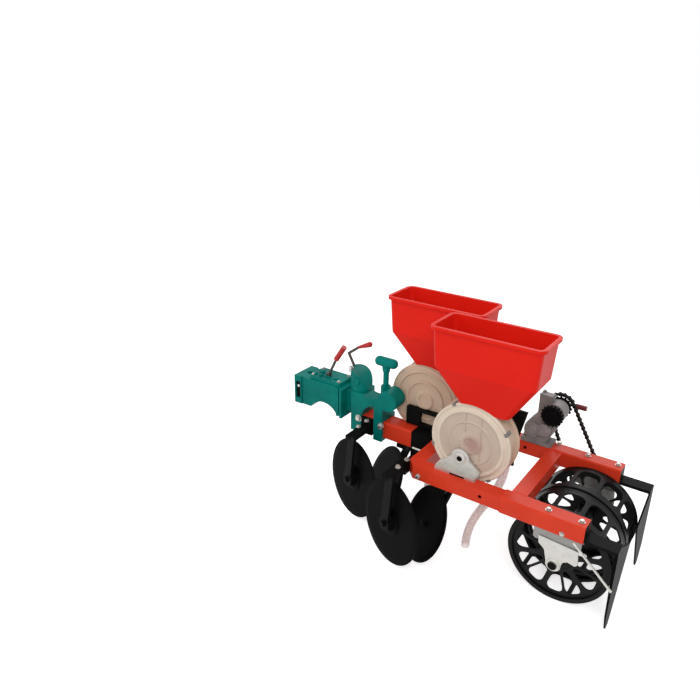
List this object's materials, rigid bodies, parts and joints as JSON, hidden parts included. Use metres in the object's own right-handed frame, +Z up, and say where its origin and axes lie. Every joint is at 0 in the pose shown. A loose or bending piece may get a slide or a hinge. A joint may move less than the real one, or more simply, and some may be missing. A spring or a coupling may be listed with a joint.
{
  "type": "two-row towed seed planter",
  "caption": "Towed walking-tractor planter: square-tube frame, hoppers over round seed meters, paired disc openers, press wheels and a swivel hitch.",
  "frame": {"origin": "on the ground, under the middle of the whole planter seen from above", "axes": "+X forward to the hitch, +Y to the left, +Z up"},
  "size_m": [1.007, 0.4748, 0.64],
  "materials": {
    "frame_paint": "red-orange paint",
    "hopper_plastic": "bright orange-red moulded plastic",
    "hitch_paint": "teal green paint over cast iron",
    "black_paint": "black paint",
    "disc_steel": "black painted steel",
    "wheel_black": "black moulded wheel",
    "meter_cream": "cream moulded housing",
    "galvanised": "zinc plated",
    "cast_grey": "bare grey casting",
    "bright_steel": "bright steel",
    "chain_steel": "oiled chain",
    "knob_red": "red knobs",
    "tube_clear": "milky pink plastic seed tubes"
  },
  "bodies": {
    "frame": {"adjusting_screw": "hitch_paint", "bearing_bracket_left": "galvanised", "bearing_bracket_right": "galvanised", "blade_shank_left": "black_paint", "blade_shank_right": "black_paint", "covering_blade_left": "disc_steel", "covering_blade_right": "disc_steel", "disc_arm_left_row": "black_paint", "disc_arm_right_row": "black_paint", "drawbar": "frame_paint", "drawbar_post": "black_paint", "drive_chain": "chain_steel", "front_beam_left": "frame_paint", "front_beam_right": "frame_paint", "front_cross": "frame_paint", "gearbox": "cast_grey", "hitch_arm": "hitch_paint", "hitch_cowl": "hitch_paint", "hopper_left": "hopper_plastic", "hopper_right": "hopper_plastic", "lock_lever": "bright_steel", "lock_lever_knob": "knob_red", "meter_cover_left": "meter_cream", "meter_cover_right": "meter_cream", "meter_fork": "black_paint", "meter_guard": "black_paint", "meter_left": "meter_cream", "meter_right": "meter_cream", "meter_stand_left": "galvanised", "meter_stand_right": "galvanised", "rear_arm_left": "frame_paint", "rear_arm_right": "frame_paint", "rear_cross": "frame_paint", "screw_handle": "hitch_paint", "seed_tube_left": "tube_clear", "seed_tube_right": "tube_clear", "shank_left_row": "black_paint", "shank_right_row": "black_paint", "stay_rod": "galvanised", "swivel_pin": "bright_steel"},
    "press_wheels": {"press_wheel_left": "wheel_black", "press_wheel_right": "wheel_black", "wheel_axle": "bright_steel", "axle_sprocket": "black_paint"},
    "meter_drive": {"drive_sprocket": "black_paint", "drive_crank": "knob_red"},
    "hitch_head": {"hitch_box": "hitch_paint", "hitch_cover": "hitch_paint", "hitch_lever": "bright_steel", "hitch_lever_knob": "knob_red"},
    "disc_left_row_left": {"disc_left_row_left": "disc_steel"},
    "disc_left_row_right": {"disc_left_row_right": "disc_steel"},
    "disc_right_row_left": {"disc_right_row_left": "disc_steel"},
    "disc_right_row_right": {"disc_right_row_right": "disc_steel"}
  },
  "joints": [
    {"name": "press_wheels_spin", "type": "hinge", "parent": "frame", "child": "press_wheels", "pos_m": [-0.36446, -0.02807, 0.125], "axis": [0, 1, 0], "continuous": true},
    {"name": "meter_drive_spin", "type": "hinge", "parent": "frame", "child": "meter_drive", "pos_m": [-0.24046, -0.20337, 0.367], "axis": [0, 1, 0], "continuous": true},
    {"name": "hitch_swivel", "type": "hinge", "parent": "frame", "child": "hitch_head", "pos_m": [0.29654, -0.02807, 0.2975], "axis": [0, 0, 1], "range_deg": [-15, 15]},
    {"name": "disc_left_row_left_spin", "type": "hinge", "parent": "frame", "child": "disc_left_row_left", "pos_m": [0.03654, 0.19293, 0.11447], "axis": [0.3729, 0.9229, 0.0958], "continuous": true},
    {"name": "disc_left_row_right_spin", "type": "hinge", "parent": "frame", "child": "disc_left_row_right", "pos_m": [-0.02546, 0.12193, 0.09291], "axis": [0.5849, 0.6971, 0.4147], "continuous": true},
    {"name": "disc_right_row_left_spin", "type": "hinge", "parent": "frame", "child": "disc_right_row_left", "pos_m": [0.23054, 0.08493, 0.11447], "axis": [0.3729, 0.9229, 0.0958], "continuous": true},
    {"name": "disc_right_row_right_spin", "type": "hinge", "parent": "frame", "child": "disc_right_row_right", "pos_m": [0.16854, 0.01393, 0.09291], "axis": [0.5849, 0.6971, 0.4147], "continuous": true}
  ],
  "couplings": [
    {"joint": "meter_drive_spin", "follows": "press_wheels_spin", "ratio": 1.3333}
  ]
}
